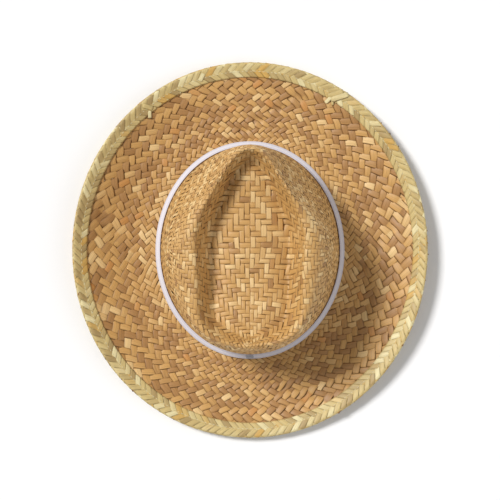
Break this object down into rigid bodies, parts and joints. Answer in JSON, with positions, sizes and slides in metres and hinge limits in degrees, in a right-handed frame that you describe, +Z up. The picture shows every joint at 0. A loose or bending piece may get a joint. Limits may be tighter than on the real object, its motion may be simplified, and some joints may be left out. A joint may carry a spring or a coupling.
{
  "type": "straw hat",
  "caption": "Wide-brimmed plaited straw hat with a pinched teardrop crown, bound brim edge and a removable white elastic hat band.",
  "frame": {"origin": "middle of the head opening, on the plane that the hat rests on", "axes": "+Z up through the crown, -Y towards the pinched front of the hat, +X to the wearer's left"},
  "size_m": [0.3514, 0.3742, 0.116],
  "materials": {
    "straw": "natural plaited straw, semi-matt",
    "binding_straw": "pale plaited straw braid, semi-matt",
    "wire": "drawn wire",
    "joiner": "crimped tube",
    "thread": "sewing thread",
    "sweatband_cloth": "woven cotton tape",
    "elastic": "braided elastic",
    "tack_thread": "close stitching"
  },
  "bodies": {
    "hat": {"straw_crown": "straw", "straw_brim": "straw", "edge_wire": "wire", "wire_joiner": "joiner", "edge_binding": "binding_straw", "binding_stitches": "thread", "sweatband": "sweatband_cloth", "sweatband_stitches": "thread"},
    "elastic_band": {"hat_band": "elastic", "hat_band_tack": "tack_thread"}
  },
  "joints": [
    {"name": "hat_band_lift", "type": "slide", "parent": "hat", "child": "elastic_band", "axis": [0, 0, 1], "range_m": [0, 0.13]}
  ]
}
